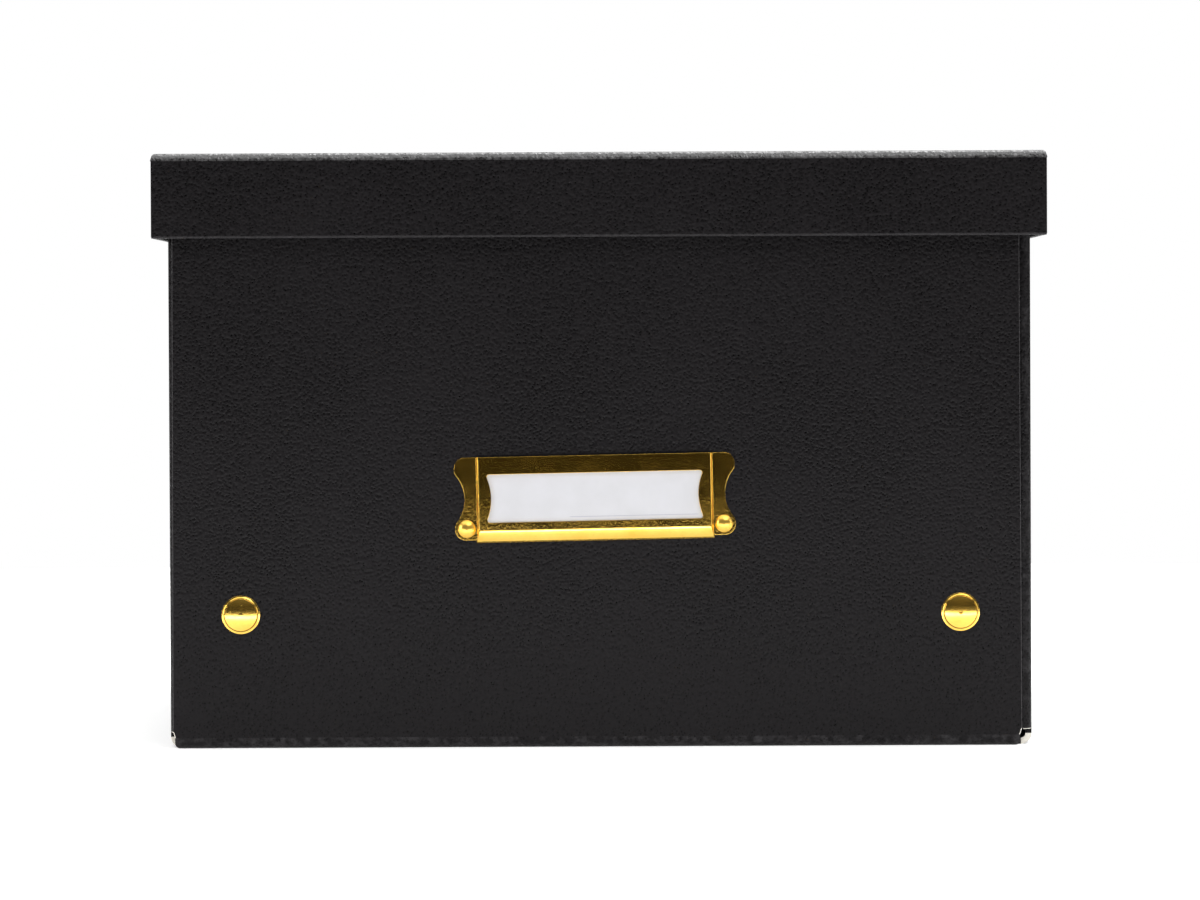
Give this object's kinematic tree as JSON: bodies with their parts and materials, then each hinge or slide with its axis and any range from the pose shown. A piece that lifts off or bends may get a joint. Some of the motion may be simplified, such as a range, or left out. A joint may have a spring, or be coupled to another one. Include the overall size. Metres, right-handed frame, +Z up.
{
  "type": "archival box",
  "caption": "Flat-pack storage box of creased black board with a lift-off lid, press-stud corners and a brass label holder on the front.",
  "frame": {"origin": "on the ground under the middle of the box", "axes": "+Z up, front wall with the label holder facing -Y, depth along Y, width along X"},
  "size_m": [0.29, 0.37, 0.1927],
  "materials": {
    "covered_board": "fine-grained matt",
    "brass": "polished",
    "nickel_steel": "nickel plated",
    "card_stock": "smooth"
  },
  "bodies": {
    "tray": {"back_base_fold": "covered_board", "back_wall": "covered_board", "base_board": "covered_board", "corner_fold_back_left": "covered_board", "corner_fold_back_right": "covered_board", "corner_fold_front_left": "covered_board", "corner_fold_front_right": "covered_board", "front_base_fold": "covered_board", "front_wall": "covered_board", "holder_rivet_left": "brass", "holder_rivet_right": "brass", "label_holder": "brass", "left_base_fold": "covered_board", "left_wall": "covered_board", "right_base_fold": "covered_board", "right_wall": "covered_board", "rivet_washer_left": "nickel_steel", "rivet_washer_right": "nickel_steel", "snap_rings": "nickel_steel", "stud_cap_back_left": "brass", "stud_cap_back_right": "brass", "stud_cap_front_left": "brass", "stud_cap_front_right": "brass", "stud_socket_back_left": "nickel_steel", "stud_socket_back_right": "nickel_steel", "stud_socket_front_left": "nickel_steel", "stud_socket_front_right": "nickel_steel"},
    "lid": {"lid_back_fold": "covered_board", "lid_back_rim": "covered_board", "lid_front_fold": "covered_board", "lid_front_rim": "covered_board", "lid_left_fold": "covered_board", "lid_left_rim": "covered_board", "lid_right_fold": "covered_board", "lid_right_rim": "covered_board", "lid_tab_back_left": "covered_board", "lid_tab_back_right": "covered_board", "lid_tab_front_left": "covered_board", "lid_tab_front_right": "covered_board", "lid_top": "covered_board"},
    "card": {"label_card": "card_stock"},
    "flap_front_left": {"flap_front_left": "covered_board", "stud_front_left": "nickel_steel", "stud_post_front_left": "nickel_steel"},
    "flap_front_right": {"flap_front_right": "covered_board", "stud_front_right": "nickel_steel", "stud_post_front_right": "nickel_steel"},
    "flap_back_left": {"flap_back_left": "covered_board", "stud_back_left": "nickel_steel", "stud_post_back_left": "nickel_steel"},
    "flap_back_right": {"flap_back_right": "covered_board", "stud_back_right": "nickel_steel", "stud_post_back_right": "nickel_steel"}
  },
  "joints": [
    {"name": "lid_lift", "type": "slide", "parent": "tray", "child": "lid", "axis": [0, 0, 1], "range_m": [0, 0.2]},
    {"name": "card_slide", "type": "slide", "parent": "tray", "child": "card", "axis": [-0.0175, 0, 0.9998], "range_m": [0, 0.03]},
    {"name": "flap_front_left_fold", "type": "hinge", "parent": "tray", "child": "flap_front_left", "pos_m": [-0.137, -0.1724, 0.09], "axis": [0, 0, 1], "range_deg": [0, 90]},
    {"name": "flap_front_right_fold", "type": "hinge", "parent": "tray", "child": "flap_front_right", "pos_m": [0.137, -0.1724, 0.09], "axis": [0, 0, -1], "range_deg": [0, 90]},
    {"name": "flap_back_left_fold", "type": "hinge", "parent": "tray", "child": "flap_back_left", "pos_m": [-0.137, 0.1724, 0.09], "axis": [0, 0, -1], "range_deg": [0, 90]},
    {"name": "flap_back_right_fold", "type": "hinge", "parent": "tray", "child": "flap_back_right", "pos_m": [0.137, 0.1724, 0.09], "axis": [0, 0, 1], "range_deg": [0, 90]}
  ]
}
